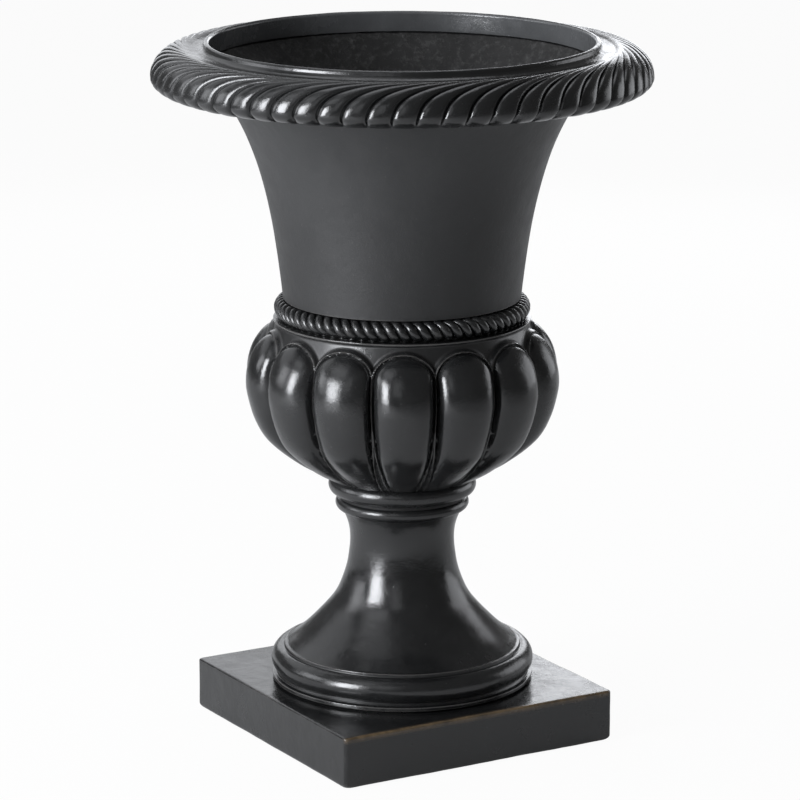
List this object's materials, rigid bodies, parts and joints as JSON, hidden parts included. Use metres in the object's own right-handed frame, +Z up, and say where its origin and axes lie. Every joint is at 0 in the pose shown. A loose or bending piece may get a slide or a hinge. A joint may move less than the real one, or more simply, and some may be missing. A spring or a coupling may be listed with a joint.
{
  "type": "urn planter",
  "caption": "Campana urn planter: rolled gadrooned rim, flared bell, rope moulding, lobed bowl, turned pedestal and square plinth on a tie rod.",
  "frame": {"origin": "on the ground, under the middle of the plinth", "axes": "+Z up along the urn's axis, the plinth's sides along X and Y, -Y the front"},
  "size_m": [0.4112, 0.4112, 0.5845],
  "materials": {
    "dark_cement": "satin charcoal wash over cast fibre cement",
    "pale_cement": "matte charcoal wash over cast fibre cement",
    "black_rubber": "matte black rubber",
    "plug_rubber": "matte black rubber",
    "zinc_steel": "dull zinc plating"
  },
  "bodies": {
    "urn": {"ground_pad_1": "black_rubber", "ground_pad_2": "black_rubber", "ground_pad_3": "black_rubber", "ground_pad_4": "black_rubber", "plinth": "dark_cement", "plinth_gasket": "black_rubber", "pedestal": "dark_cement", "neck_gasket": "black_rubber", "gadrooned_bowl": "dark_cement", "rope_moulding": "dark_cement", "bell_wall": "pale_cement", "rolled_rim": "dark_cement", "tie_rod": "zinc_steel", "base_washer": "zinc_steel", "base_nut": "zinc_steel", "sealing_washer": "black_rubber", "top_washer": "zinc_steel", "top_nut": "zinc_steel"},
    "plug": {"drain_plug": "plug_rubber"}
  },
  "joints": [
    {"name": "plug_pull", "type": "slide", "parent": "urn", "child": "plug", "axis": [0, 0, 1], "range_m": [0, 0.06]}
  ]
}
